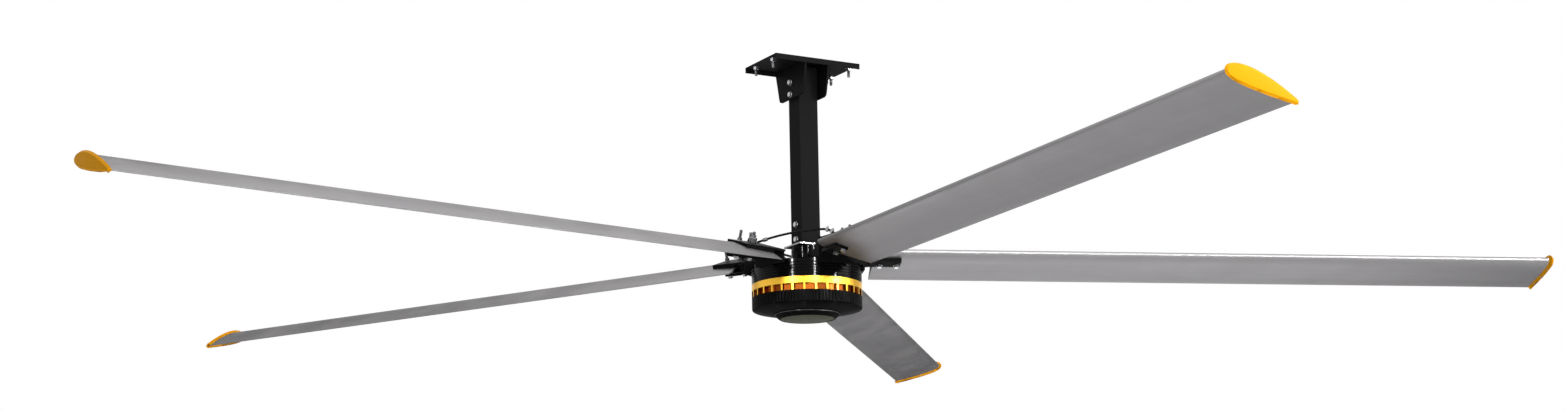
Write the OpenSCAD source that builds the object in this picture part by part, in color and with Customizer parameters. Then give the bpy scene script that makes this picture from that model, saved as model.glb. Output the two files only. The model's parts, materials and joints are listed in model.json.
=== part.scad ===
// Industrial ceiling fan: five hollow blades on a direct-drive hub motor, hung from a square rod.
// Millimetres, +Z up. Origin: centre of the ceiling plate's top face. X: the plate's long side.
// Heights inside the hub are counted from the blades' line, which lies "drop" below the origin.

/* [Fan] */
// Radius from the hub axis to the tip caps
fan_r = 3050; // [2400:50:3600]
// Height of the ceiling plate's top above the blades' line
drop = 795; // [700:5:1400]
// Angle of blade 1 from the X axis, at rest
phase = 48.3; // [0:0.1:71]

/* [Blades] */
// Chord, from nose to tail
chord = 239; // [225:1:250]
// Distance of the nose ahead of the bolt line
nose = 77; // [74:1:80]
// Greatest thickness as a share of the chord
thick = 0.18; // [0.17:0.005:0.19]
// Camber as a share of the chord
camber = 0.03; // [0.02:0.005:0.035]
// Blade angle, nose up
pitch = 18.2; // [12:0.1:20]
// Fall of the blades towards the tips
droop = 0.66; // [0:0.01:1.2]
// Radius at which the blades start
root_r = 267; // [262:1:275]
// Wall of the extruded blade
skin = 2.4; // [2:0.1:3]
// Depth of the tip caps along the blade
cap_d = 19; // [14:1:26]
// How far the tip caps stand out of the blade's skin
cap_out = 5; // [3:0.5:7]

/* [Brackets] */
// Reach of the bracket arms from the hub axis
arm_r = 385; // [375:1:395]
// Thickness of the arm, web and foot
arm_t = 8; // [6:0.5:9]
// Radius of the inner clamp bolt
bolt_r1 = 291; // [288:1:296]
// Radius of the outer clamp bolt
bolt_r2 = 359; // [350:1:362]

/* [Ceiling plate] */
// Length along X
plate_l = 386; // [370:1:440]
// Width along Y
plate_w = 254; // [244:1:290]
// Thickness of the web
plate_t = 6; // [6:0.5:8]
// Height of the folded lips, web included
lip_h = 22; // [16:1:30]
// Fixing bolt spacing along X
fix_x = 350; // [320:1:352]
// Fixing bolt spacing along Y
fix_y = 140; // [120:1:180]

/* [Ears] */
// Thickness of each ear
ear_t = 8; // [6:0.5:10]
// Distance over the outer faces of the two ears
ear_span = 113; // [112:1:124]
// Depth of the ears' lower edge under the origin
ear_h = 143; // [138:1:170]

/* [Down rod] */
// Outside width of the square rod
rod_w = 84; // [84:1:86]
// Wall of the rod
rod_t = 6; // [5:0.5:6]

/* [Motor] */
// Radius of the drum
motor_r = 218.5; // [217:0.5:222]
// Number of windows round the accent ring, a multiple of the ten ties
windows = 30; // [20:10:40]
// Width of the posts between the windows
post_w = 6; // [5:0.5:8]
// Number of ribs round the lower cover
ribs = 100; // [60:5:120]

/* [Hidden] */
$fn = 64;
blades = 5;
step = 360 / blades;
flange_t = 6;
flange_w = 129;
neck_top = 49;
rod_top = -14;
rod_end = -drop + neck_top + flange_t;
m12 = 6;
hole_gap = 0.2;
washer_gap = 0.3;
ear_z = [-76, -126];
rod_z = [rod_end + 22, rod_end + 82];
arm_top = 36;
rope_r = 4.5;
eye_r = 15;
top_face = -31;
ring_top = -105;
ring_low = -157;
wall_in = 202;
base_z = -222;
low_seat = -190;
low_w = 20;
shaft_end = -203;
core_r = 185;
core_top = -85;
core_h = 70;
slots = 36;
poles = 30;
slip = 0.1;
washer_t = 2.5;
washer_r = 12;
head_t = 7.5;
nut_w = 19;
nut_t = 10.4;
clamp_w = 18;
clamp_nut_t = 10.8;
shaft_r = 45;
screw_ring = 29;
core_mid = core_top - core_h / 2;
carrier_r = 92;
rim_in = carrier_r - 10;
rim_h = core_h / 2 - 2;
boss_r = shaft_r + 12;
boss_h = core_h / 2 - 1;
web_h = 8;
core_back = 130;
shoe_in = core_r - 7;
tooth_w = 12;
slot_open = 4;
coil_in = core_back + 3;
coil_t = 4.5;

// Frames: the hub's centre on the blades' line, one blade's radial line, one blade's own section
module hub() translate([0, 0, -drop]) children();
module spoke(i) hub() rotate([0, 0, phase + step * i]) children();
module on_blade(i) spoke(i) rotate([0, droop, 0]) rotate([-pitch, 0, 0]) children();
module each_blade() for (i = [0:blades - 1]) on_blade(i) children();
module along_x(h) rotate([90, 0, 90]) linear_extrude(height = h) children();

// Fasteners, axis along Z
module disc(r, z0, z1) translate([0, 0, z0]) cylinder(r = r, h = z1 - z0);
module ring(r0, r1, z0, z1) difference() {
  disc(r1, z0, z1);
  disc(r0, z0 - 1, z1 + 1);
}
module hex(af, z0, z1) translate([0, 0, z0]) cylinder(d = af / cos(30), h = z1 - z0, $fn = 6);
module nut(af, r, z0, z1) difference() {
  hex(af, z0, z1);
  disc(r + 0.1, z0 - 1, z1 + 1);
}

// Blade section in the (y, z) plane of the blade frame: nose at -nose, tail at chord - nose
function half_t(t) = max(1.1, 5 * thick * chord * (0.2969 * sqrt(t) - 0.126 * t
  - 0.3516 * pow(t, 2) + 0.2843 * pow(t, 3) - 0.1036 * pow(t, 4)));
function mid(t) = camber * chord * (t < 0.4 ? (0.8 * t - t * t) / 0.16
  : (0.2 + 0.8 * t - t * t) / 0.36);
function tt(k, n) = (1 - cos(180 * k / n)) / 2;
function hi(t, d) = [t * chord - nose, mid(t) + half_t(t) - d];
function lo(t, d) = [t * chord - nose, mid(t) - half_t(t) + d];
side_n = 26;
outline = concat([[-nose, 0]], [for (k = [1:side_n]) hi(tt(k, side_n), 0)],
  [for (k = [side_n:-1:1]) lo(tt(k, side_n), 0)]);
function cell(a, b, n) = concat([for (k = [0:n]) hi(a + (b - a) * k / n, skin)],
  [for (k = [n:-1:0]) lo(a + (b - a) * k / n, skin)]);
// The outline pushed outwards by d along its own normals
function unit(v) = v / norm(v);
function out(k, d) = let(n = len(outline), p = outline[(k + n - 1) % n], q = outline[(k + 1) % n],
  e = unit(q - p)) outline[k] + d * [-e[1], e[0]];
cap_line = [for (k = [0:len(outline) - 1]) out(k, cap_out)];

module blade_solid(x0, x1) translate([x0, 0, 0]) along_x(x1 - x0) polygon(outline);
blade_end = fan_r - 4;
module blade(i) color([0.66, 0.66, 0.67]) on_blade(i) difference() {
  translate([root_r, 0, 0]) along_x(blade_end - root_r) difference() {
    polygon(outline);
    polygon(cell(0.025, 0.19, 5));
    polygon(cell(0.2, 0.5, 6));
    polygon(cell(0.51, 0.86, 6));
  }
  for (x = [bolt_r1, bolt_r2]) translate([x, 0, 0]) disc(m12 + hole_gap, -40, 50);
}
module tip_cap(i) color([0.95, 0.62, 0.1]) on_blade(i) difference() {
  translate([fan_r - cap_d, 0, 0]) along_x(cap_d) polygon(cap_line);
  translate([fan_r - cap_d - 1, 0, 0]) along_x(cap_d - 3) polygon(outline);
  for (y = screw_y) translate([fan_r - cap_d / 2 - 2, y, 0]) disc(1.9, -40, 0);
}
screw_y = [-30, 40, 110];
function low_at(y) = let(t = (y + nose) / chord) mid(t) - half_t(t);
module tip_cap_screws() color([0.75, 0.75, 0.76]) each_blade()
  for (y = screw_y) translate([fan_r - cap_d / 2 - 2, y, low_at(y) - cap_out]) {
    disc(3.6, -1.9, -0.3);
    disc(1.7, -0.4, cap_out - 0.3);
  }

// Bracket: foot on the drum, web down its side, arm over the blade
web_lo = -52;
web_x = motor_r + 0.7;
nose_y = -49;
tail_y = 115;
function arm_z(y) = arm_top / cos(pitch) - y * tan(pitch) - web_x * tan(droop);
module bracket(i) color([0.09, 0.09, 0.1]) difference() {
  union() {
    spoke(i) {
      translate([web_x, 0, 0]) along_x(arm_t) polygon([[nose_y, web_lo], [tail_y, web_lo],
        [tail_y, arm_z(tail_y)], [nose_y, arm_z(nose_y)]]);
      translate([0, 0, top_face]) linear_extrude(height = arm_t) polygon([[140, nose_y],
        [web_x + 1, nose_y], [web_x + 1, 70], [140, 58]]);
      for (y = [nose_y, 50]) translate([0, y, 0]) rotate([90, 0, 0]) mirror([0, 0, 1])
        linear_extrude(height = 7) polygon([[145, top_face + 2], [web_x + 1, top_face + 2],
          [web_x + 1, arm_z(y + 7) - 3]]);
    }
    on_blade(i) {
      translate([0, 0, arm_top - arm_t]) linear_extrude(height = arm_t) arm_plan();
      intersection() {
        translate([0, 0, arm_top - 16]) linear_extrude(height = 12) arm_plan();
        translate([root_r + 1, -60, 0]) cube([arm_r, 120, 60]);
      }
      translate([0, 0, fold_z]) linear_extrude(height = arm_top - arm_t + 1 - fold_z) arm_fold();
    }
  }
  on_blade(i) {
    blade_solid(root_r - 0.5, arm_r + 10);
    for (x = [bolt_r1, bolt_r2]) translate([x, 0, 0]) disc(m12 + hole_gap, 10, 50);
  }
  spoke(i) for (p = foot_holes) translate(p) disc(5.2, top_face - 1, top_face + arm_t + 1);
}
foot_holes = [[162, -28, 0], [162, 34, 0], [199, -28, 0], [199, 34, 0]];
arm_nose = -40;
arm_tail = 80;
module arm_plan() polygon([[web_x + 1, nose_y - 2], [arm_r, arm_nose], [arm_r, arm_tail],
  [web_x + 1, tail_y + 4]]);
// The arm's tail edge is folded down onto the blade
fold_z = 4;
fold_r = root_r + 1;
fold_y = tail_y + 4 + (arm_tail - tail_y - 4) * (fold_r - web_x - 1) / (arm_r - web_x - 1);
module arm_fold() polygon([[fold_r, fold_y - arm_t], [arm_r, arm_tail - arm_t],
  [arm_r, arm_tail], [fold_r, fold_y]]);
// Clamp plate under the blade: its nose edge is folded down to a stiffening lip
clamp_r0 = root_r - 15;
clamp_l = bolt_r2 + 16 - clamp_r0;
clamp_nose = -43;
clamp_tail = 13;
clamp_z = -24;
clamp_lip = 8;
module clamp_plates() color([0.1, 0.1, 0.11]) each_blade() difference() {
  union() {
    translate([clamp_r0, clamp_nose, clamp_z]) cube([clamp_l, clamp_tail - clamp_nose, 13]);
    translate([clamp_r0, clamp_nose, clamp_z - clamp_lip]) cube([clamp_l, 4, clamp_lip + 2]);
  }
  blade_solid(root_r - 0.5, arm_r + 10);
  translate([clamp_r0 - 1, clamp_nose - 1, -16]) cube([root_r - clamp_r0 + 1, 80, 20]);
  for (x = [bolt_r1, bolt_r2]) translate([x, 0, 0]) disc(m12 + hole_gap, -40, 10);
}
module bracket_bolts() color([0.7, 0.7, 0.7]) for (i = [0:blades - 1]) spoke(i)
  for (p = foot_holes) translate(p) {
    hex(16, top_face + arm_t, top_face + arm_t + 6.4);
    disc(5, top_face - 11, top_face + arm_t + 1);
  }
module clamp_bolts() color([0.8, 0.8, 0.8]) each_blade() for (x = [bolt_r1, bolt_r2])
  translate([x, 0, 0]) {
    hex(clamp_w, clamp_z - washer_t - 8, clamp_z - washer_t);
    disc(m12, -27, 80);
  }
inner_nut = arm_top + 4 * rope_r + 0.3;
module clamp_washers() color([0.75, 0.75, 0.75]) each_blade() {
  for (x = [bolt_r1, bolt_r2]) translate([x, 0, 0])
    ring(m12 + washer_gap, washer_r, clamp_z - washer_t, clamp_z);
  translate([bolt_r1, 0, 0]) ring(m12 + washer_gap, 15, inner_nut, inner_nut + washer_t);
  translate([bolt_r2, 0, 0])
    ring(m12 + washer_gap, washer_r, arm_top, arm_top + washer_t);
}
module clamp_nuts() color([0.8, 0.8, 0.8]) each_blade() {
  translate([bolt_r1, 0, 0])
    nut(clamp_w, m12, inner_nut + washer_t, inner_nut + washer_t + clamp_nut_t);
  translate([bolt_r2, 0, 0])
    nut(clamp_w, m12, arm_top + washer_t, arm_top + washer_t + clamp_nut_t);
}

// Safety rope: one length from each inner clamp bolt to the next, in the upright plane through both
function stud_at(i, up) = let(y = up * sin(pitch), z = up * cos(pitch),
  x = bolt_r1 * cos(droop) - z * sin(droop), w = z * cos(droop) - bolt_r1 * sin(droop),
  a = step * i) [x * cos(a) - y * sin(a), x * sin(a) + y * cos(a), w];
rope_a = stud_at(0, arm_top + rope_r);
rope_b = stud_at(1, arm_top + 3 * rope_r + 0.1);
rope_v = rope_b - rope_a;
rope_l = norm([rope_v[0], rope_v[1]]);
rope_yaw = atan2(rope_v[1], rope_v[0]);
eye_dip = eye_r * tan(pitch) * sin(rope_yaw);
rope_s0 = eye_r + 0.35 * rope_r;
rope_s1 = rope_l - eye_r - 0.94 * rope_r;
rope_z0 = rope_a[2] - eye_dip;
rope_z1 = rope_b[2] + eye_dip;
rope_st = rope_l * 0.8;
rope_zt = 71;
function span_r(ds, dz) = (ds * ds + dz * dz) / (2 * dz);
rope_ra = span_r(rope_st - rope_s0, rope_zt - rope_z0);
rope_rb = span_r(rope_s1 - rope_st, rope_zt - rope_z1);
turn_a = asin((rope_st - rope_s0) / rope_ra);
turn_b = asin((rope_s1 - rope_st) / rope_rb);
module rope_plane(i) spoke(i) translate([rope_a[0], rope_a[1], 0]) rotate([0, 0, rope_yaw])
  rotate([90, 0, 0]) translate([rope_st, rope_zt, 0]) children();
// The last bend is a hair thicker and laps over the long rise
lap = 1.5;
lap_out = 0.15;
module safety_rope() color([0.1, 0.1, 0.1]) for (i = [0:blades - 1]) rope_plane(i) union() {
  translate([0, -rope_ra, 0]) rotate([0, 0, 90]) rotate_extrude(angle = turn_a)
    translate([rope_ra, 0]) circle(r = rope_r);
  translate([0, -rope_rb, 0]) rotate([0, 0, 90 - turn_b]) rotate_extrude(angle = turn_b + lap)
    translate([rope_rb, 0]) circle(r = rope_r + lap_out);
}
module rope_eyes() color([0.55, 0.55, 0.57]) each_blade() translate([bolt_r1, 0, 0]) {
  ring(m12 + washer_gap, eye_r, arm_top, arm_top + 2 * rope_r);
  ring(m12 + washer_gap, eye_r, arm_top + 2 * rope_r + 0.1, arm_top + 4 * rope_r + 0.1);
}
module on_rope(i, r, a) rope_plane(i) translate([0, -r, 0]) rotate([0, 0, 90 + a])
  translate([r, 0, 0]) rotate([-90, 0, 0]) children();
module rope_ferrules() color([0.5, 0.5, 0.52]) for (i = [0:blades - 1])
  on_rope(i, rope_ra, turn_a - asin(33 / rope_ra)) ring(rope_r + 0.15, 7.5, -9, 9);
module rope_clips() color([0.6, 0.6, 0.62]) for (i = [0:blades - 1]) for (a = [0.3, 0.65])
  on_rope(i, rope_rb, -a * turn_b) difference() {
    union() {
      translate([-8, -9, -4.5]) cube([16, 18, 9]);
      translate([6, -8, -2.5]) cube([7, 16, 5]);
    }
    disc(rope_r + lap_out + 0.2, -12, 12);
  }

// Ceiling plate, ears and rod; the ceiling bolts' heads are sunk flush into the plate
sink_h = 5;
sink_r = 11.6;
sink_gap = 0.5;
module ceiling_plate() color([0.08, 0.08, 0.08]) difference() {
  union() {
    translate([-plate_l / 2, -plate_w / 2, -plate_t]) cube([plate_l, plate_w, plate_t]);
    for (s = [0, 1]) mirror([0, s, 0]) translate([-plate_l / 2, plate_w / 2 - 5, -lip_h])
      cube([plate_l, 5, lip_h - 1]);
  }
  for (x = [-1, 1], y = [-1, 1]) translate([x * fix_x / 2, y * fix_y / 2, 0]) {
    disc(m12 + sink_gap, -plate_t - 1, 1);
    translate([0, 0, -sink_h])
      cylinder(r1 = m12 + sink_gap, r2 = sink_r + sink_gap, h = sink_h + 0.02);
  }
}
// Below the nuts the ceiling bolts' tails hang free at full thread width
stud_free = -plate_t - 13.3;
stud_neck = m12 - 0.3;
module ceiling_bolts() color([0.8, 0.8, 0.8]) for (x = [-1, 1], y = [-1, 1])
  translate([x * fix_x / 2, y * fix_y / 2, 0]) {
    translate([0, 0, -sink_h]) cylinder(r1 = m12, r2 = sink_r, h = sink_h);
    disc(stud_neck, stud_free, 1 - sink_h);
    disc(m12, -45, stud_free);
  }
ear_low = 95;
ear_high = plate_w / 2 - 6;
module ear_shape() difference() {
  polygon([[-ear_high, -plate_t], [ear_high, -plate_t], [ear_high - 1, -24],
    [ear_low, 16 - ear_h], [ear_low - 5, 5 - ear_h], [ear_low - 16, -ear_h],
    [16 - ear_low, -ear_h], [5 - ear_low, 5 - ear_h], [-ear_low, 16 - ear_h],
    [1 - ear_high, -24]]);
  for (z = ear_z) translate([0, z]) circle(r = m12 + hole_gap);
}
module ear_left() color([0.09, 0.09, 0.09]) translate([-ear_span / 2, 0, 0])
  along_x(ear_t) ear_shape();
module ear_right() color([0.09, 0.09, 0.09]) translate([ear_span / 2 - ear_t, 0, 0])
  along_x(ear_t) ear_shape();
module box_tube(w, t, z0, z1) difference() {
  translate([-w / 2, -w / 2, z0]) cube([w, w, z1 - z0]);
  translate([t - w / 2, t - w / 2, z0 - 1]) cube([w - 2 * t, w - 2 * t, z1 - z0 + 2]);
}
module cross_holes(zs) for (z = zs) translate([0, 0, z]) rotate([0, 90, 0]) disc(m12 + hole_gap, -80, 80);
module down_rod() color([0.09, 0.09, 0.09]) difference() {
  box_tube(rod_w, rod_t, rod_end, rod_top);
  cross_holes(ear_z);
  cross_holes(rod_z);
}
sleeve_w = rod_w - 2 * rod_t - 0.4;
module rod_adapter() color([0.3, 0.3, 0.31]) difference() {
  union() {
    translate([-flange_w / 2, -flange_w / 2, rod_end - flange_t])
      cube([flange_w, flange_w, flange_t]);
    box_tube(sleeve_w, 5, rod_end - 1, rod_end + 106);
  }
  cross_holes(rod_z);
  disc(20, rod_end - 10, rod_end + 1);
  for (a = [45:90:315]) rotate([0, 0, a]) translate([screw_ring, 0, 0])
    disc(5.2, rod_end - 10, rod_end + 1);
}
// Bolts lie along X: head on the left, nut on the right
module x_bolt(z, half, tail) translate([0, 0, z]) rotate([0, 90, 0]) {
  hex(nut_w, -half - washer_t - head_t, -half - washer_t);
  disc(m12, -half - 3, half + tail);
}
module x_washers(z, half) translate([0, 0, z]) rotate([0, 90, 0]) {
  ring(m12 + washer_gap, washer_r, -half - washer_t, -half);
  ring(m12 + washer_gap, washer_r, half, half + washer_t);
}
module ear_bolts() color([0.8, 0.8, 0.8]) for (z = ear_z) x_bolt(z, ear_span / 2, 20);
module rod_bolts() color([0.5, 0.5, 0.5]) for (z = rod_z) x_bolt(z, rod_w / 2, 18);
module ear_spacers() color([0.75, 0.75, 0.75]) for (z = ear_z, s = [0, 1]) mirror([s, 0, 0])
  translate([0, 0, z]) rotate([0, 90, 0]) ring(m12 + washer_gap, 14, rod_w / 2, ear_span / 2 - ear_t);
module hanger_washers() color([0.75, 0.75, 0.75]) {
  for (x = [-1, 1], y = [-1, 1]) translate([x * fix_x / 2, y * fix_y / 2, 0])
    ring(m12 + washer_gap, washer_r, -plate_t - washer_t, -plate_t);
  for (z = ear_z) x_washers(z, ear_span / 2);
  for (z = rod_z) x_washers(z, rod_w / 2);
}
module hanger_nuts() color([0.8, 0.8, 0.8]) {
  for (x = [-1, 1], y = [-1, 1]) translate([x * fix_x / 2, y * fix_y / 2, 0])
    nut(nut_w, m12, -plate_t - washer_t - nut_t, -plate_t - washer_t);
  for (z = ear_z) translate([0, 0, z]) rotate([0, 90, 0])
    nut(nut_w, m12, ear_span / 2 + washer_t, ear_span / 2 + washer_t + nut_t);
  for (z = rod_z) translate([0, 0, z]) rotate([0, 90, 0])
    nut(nut_w, m12, rod_w / 2 + washer_t, rod_w / 2 + washer_t + nut_t);
}
module shaft_screws() color([0.3, 0.3, 0.3]) hub() for (a = [45:90:315]) rotate([0, 0, a])
  translate([screw_ring, 0, 0]) {
    difference() {
      disc(8, neck_top + flange_t, neck_top + flange_t + 10);
      hex(8, neck_top + flange_t + 5, neck_top + flange_t + 11);
    }
    disc(5, neck_top - 18, neck_top + flange_t + 1);
  }

// Fixed shaft and stator
module motor_shaft() color([0.12, 0.12, 0.13]) hub() difference() {
  rotate_extrude() polygon([[0, neck_top], [59, neck_top], [59, -26], [52, -26], [52, -43],
    [shaft_r, -43], [shaft_r, low_seat + low_w], [35, low_seat + low_w], [35, low_seat], [30, low_seat],
    [30, shaft_end], [0, shaft_end]]);
  disc(20, -150, neck_top + 1);
  translate([0, 0, -76]) rotate([0, 90, 0]) disc(6, 0, 60);
  for (a = [45:90:315]) rotate([0, 0, a]) translate([screw_ring, 0, 0])
    disc(5.1, neck_top - 20, neck_top + 1);
}
module shaft_lock_nut() color([0.35, 0.35, 0.36]) hub() difference() {
  ring(30.1, 43, shaft_end + 1, low_seat);
  for (a = [0:90:270]) rotate([0, 0, a]) translate([39, -4, shaft_end])
    cube([6, 8, low_seat - shaft_end + 1]);
}
module stator_carrier() color([0.6, 0.6, 0.62]) hub() translate([0, 0, core_mid]) rotate_extrude()
  polygon([[shaft_r + slip, boss_h], [boss_r, boss_h], [boss_r, web_h], [rim_in, web_h],
    [rim_in, rim_h], [carrier_r, rim_h], [carrier_r, -rim_h], [rim_in, -rim_h],
    [rim_in, -web_h], [boss_r, -web_h], [boss_r, -boss_h], [shaft_r + slip, -boss_h]]);
module stator_core() color([0.35, 0.36, 0.38]) hub() translate([0, 0, core_top - core_h])
  linear_extrude(height = core_h) difference() {
    union() {
      difference() {
        circle(r = core_back);
        circle(r = carrier_r + slip);
      }
      for (k = [0:slots - 1]) rotate(k * 360 / slots)
        translate([core_back - 2, -tooth_w / 2]) square([shoe_in - core_back + 4, tooth_w]);
      difference() {
        circle(r = core_r);
        circle(r = shoe_in);
      }
    }
    for (k = [0:slots - 1]) rotate((k + 0.5) * 360 / slots)
      translate([shoe_in - 8, -slot_open / 2]) square([20, slot_open]);
  }
module stator_coils() color([0.7, 0.38, 0.15]) hub() for (k = [0:slots - 1])
  rotate([0, 0, k * 360 / slots]) difference() {
    translate([coil_in, -tooth_w / 2 - slip - coil_t, core_top - core_h - 6])
      cube([shoe_in - 2 - coil_in, tooth_w + 2 * (slip + coil_t), core_h + 12]);
    translate([coil_in - 1, -tooth_w / 2 - slip, core_top - core_h - 0.2])
      cube([shoe_in - coil_in, tooth_w + 2 * slip, core_h + 0.4]);
  }

// Ball bearings: upper one 90 x 140 x 24, lower one 70 x 110 x 20
up_b = [shaft_r, 70, -67, 24, 15, 15];
low_b = [35, 55, low_seat, low_w, 13, 12];
function b_rp(b) = (b[0] + b[1]) / 2;
function b_zc(b) = b[2] + b[3] / 2;
module race(b, r0, r1) hub() rotate_extrude() difference() {
  translate([r0, b[2]]) square([r1 - r0, b[3]]);
  translate([b_rp(b), b_zc(b)]) circle(r = b[5] / 2 + 0.2);
}
module inner_race(b) race(b, b[0] + 0.05, b_rp(b) - 0.26 * b[5]);
module outer_race(b) race(b, b_rp(b) + 0.26 * b[5], b[1] - 0.05);
module b_balls(b) hub() for (k = [0:b[4] - 1]) rotate([0, 0, k * 360 / b[4]])
  translate([b_rp(b), 0, b_zc(b)]) sphere(r = b[5] / 2);
module b_cage(b) hub() difference() {
  ring(b_rp(b) - 2, b_rp(b) + 2, b_zc(b) - b[3] * 0.36, b_zc(b) + b[3] * 0.36);
  for (k = [0:b[4] - 1]) rotate([0, 0, k * 360 / b[4]]) translate([b_rp(b), 0, b_zc(b)])
    rotate([0, 90, 0]) disc(b[5] / 2 + 0.15, -9, 9);
}
module upper_bearing_inner_ring() color([0.7, 0.7, 0.72]) inner_race(up_b);
module upper_bearing_outer_ring() color([0.7, 0.7, 0.72]) outer_race(up_b);
module upper_bearing_balls() color([0.8, 0.8, 0.82]) b_balls(up_b);
module upper_bearing_cage() color([0.7, 0.55, 0.25]) b_cage(up_b);
module lower_bearing_inner_ring() color([0.7, 0.7, 0.72]) inner_race(low_b);
module lower_bearing_outer_ring() color([0.7, 0.7, 0.72]) outer_race(low_b);
module lower_bearing_balls() color([0.8, 0.8, 0.82]) b_balls(low_b);
module lower_bearing_cage() color([0.7, 0.55, 0.25]) b_cage(low_b);

// Turning drum
module shaft_seal() color([0.05, 0.05, 0.05]) hub() ring(52.4, 61.95, -42.5, top_face);
tie_r = 208;
groove_top = -49.3;
groove_step = 11.5;
groove_r = 2;
module tie_holes(r, z0, z1) for (k = [0:9]) rotate([0, 0, phase + k * 36 + 9]) translate([tie_r, 0, 0])
  disc(r, z0, z1);
module upper_cover() color([0.08, 0.08, 0.09]) difference() {
  hub() difference() {
    rotate_extrude() difference() {
      polygon([[62, top_face], [motor_r - 3, top_face], [motor_r, top_face - 3],
        [motor_r, ring_top], [wall_in, ring_top], [wall_in, -46], [84, -46], [84, -67],
        [70, -67], [70, -43], [62, -43]]);
      for (k = [0:4]) translate([motor_r + 0.4, groove_top - groove_step * k])
        circle(r = groove_r);
    }
    tie_holes(3.1, ring_top - 1, ring_top + 25);
  }
  for (i = [0:blades - 1]) spoke(i) for (p = foot_holes) translate(p) disc(5.1, -43, top_face + 1);
}
module rotor_yoke() color([0.3, 0.3, 0.31]) hub() 
  ring(wall_in - 8, wall_in - slip, core_top - core_h - 10, core_top + 10);
module rotor_magnets() color([0.45, 0.45, 0.47]) hub() for (k = [0:poles - 1])
  rotate([0, 0, k * 360 / poles]) translate([0, 0, core_top - core_h])
    rotate_extrude(angle = 10) translate([core_r + 1, 0]) square([wall_in - 8.1 - core_r - 1, core_h]);
band_low = -131;
back_wall = 3.5;
window_w = 2 * tie_r * sin(180 / windows) - post_w;
// A plain band over open windows, with a boss round each tie behind every third post
module accent_ring() color([0.95, 0.6, 0.1]) hub() difference() {
  union() {
    difference() {
      ring(wall_in, motor_r, ring_low, ring_top);
      for (k = [0:windows - 1]) rotate([0, 0, phase + 9 + (k + 0.5) * 360 / windows])
        translate([wall_in + back_wall, -window_w / 2, ring_low - 1])
          cube([30, window_w, band_low - ring_low + 1]);
    }
    tie_holes(5.6, ring_low + 0.4, band_low + 1);
  }
  tie_holes(3.2, ring_low - 1, ring_top + 1);
}
rib_end = -200;
rim_low = -205;
head_seat = -198.5;
module lower_cover() color([0.07, 0.07, 0.07]) hub() difference() {
  union() {
    translate([0, 0, rib_end]) linear_extrude(height = ring_low - rib_end) difference() {
      polygon([for (k = [0:ribs * 4 - 1]) let(a = phase + (k - 0.5) * 90 / ribs,
        r = motor_r - (k % 4 < 2 ? 0 : 1.6)) [r * cos(a), r * sin(a)]]);
      circle(r = wall_in);
    }
    rotate_extrude() polygon([[wall_in, rib_end], [motor_r - 0.6, rib_end],
      [motor_r - 0.6, rim_low + 3], [motor_r - 3.6, rim_low], [128, base_z], [50, base_z],
      [50, low_seat], [55, low_seat], [55, low_seat + 22], [68, low_seat + 22],
      [68, low_seat - 16], [wall_in, rib_end + 3]]);
  }
  tie_holes(3.2, base_z - 8, ring_low + 1);
  tie_holes(5.6, base_z - 8, head_seat);
}
module cover_screws() color([0.5, 0.5, 0.5]) hub() {
  tie_holes(3, head_seat - 1, ring_top + 22);
  difference() {
    tie_holes(5.2, head_seat - 6, head_seat);
    tie_holes(2.4, head_seat - 7, head_seat - 3.2);
  }
}
// Bottom cap: a dished flange with a shallow seat that holds the lens
cap_r = 130;
cap_low = base_z - 19.5;
lens_seat = base_z - 14;
lens_r = 106.3;
module bottom_cap() color([0.07, 0.07, 0.07]) hub() rotate_extrude()
  polygon([[cap_r - 12, base_z], [cap_r, base_z], [cap_r, base_z - 4], [lens_r + 3.7, cap_low],
    [lens_r + 0.2, cap_low], [lens_r + 0.2, lens_seat], [0, lens_seat], [0, lens_seat + 5],
    [lens_r - 2.3, lens_seat + 5]]);
module cap_lens() color([0.35, 0.36, 0.27]) hub() rotate_extrude()
  polygon([[0, lens_seat], [lens_r, lens_seat], [lens_r, lens_seat - 4.5],
    [lens_r * 0.75, lens_seat - 6], [lens_r * 0.42, lens_seat - 7], [0, lens_seat - 7.5]]);

module blade_1() blade(0);
module blade_2() blade(1);
module blade_3() blade(2);
module blade_4() blade(3);
module blade_5() blade(4);
module tip_cap_1() tip_cap(0);
module tip_cap_2() tip_cap(1);
module tip_cap_3() tip_cap(2);
module tip_cap_4() tip_cap(3);
module tip_cap_5() tip_cap(4);
module blade_bracket_1() bracket(0);
module blade_bracket_2() bracket(1);
module blade_bracket_3() bracket(2);
module blade_bracket_4() bracket(3);
module blade_bracket_5() bracket(4);

ceiling_plate();
ear_left();
ear_right();
ceiling_bolts();
ear_bolts();
ear_spacers();
rod_bolts();
hanger_washers();
hanger_nuts();
down_rod();
rod_adapter();
shaft_screws();
motor_shaft();
shaft_lock_nut();
stator_carrier();
stator_core();
stator_coils();
upper_bearing_inner_ring();
lower_bearing_inner_ring();
upper_bearing_cage();
upper_bearing_balls();
lower_bearing_cage();
lower_bearing_balls();
upper_bearing_outer_ring();
lower_bearing_outer_ring();
shaft_seal();
upper_cover();
rotor_yoke();
rotor_magnets();
accent_ring();
lower_cover();
cover_screws();
bottom_cap();
cap_lens();
blade_bracket_1();
blade_bracket_2();
blade_bracket_3();
blade_bracket_4();
blade_bracket_5();
clamp_plates();
blade_1();
blade_2();
blade_3();
blade_4();
blade_5();
tip_cap_1();
tip_cap_2();
tip_cap_3();
tip_cap_4();
tip_cap_5();
bracket_bolts();
clamp_bolts();
clamp_nuts();
clamp_washers();
tip_cap_screws();
safety_rope();
rope_eyes();
rope_ferrules();
rope_clips();
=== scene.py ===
import json
import math

import bmesh
import bpy
from mathutils import Matrix, Vector


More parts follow.
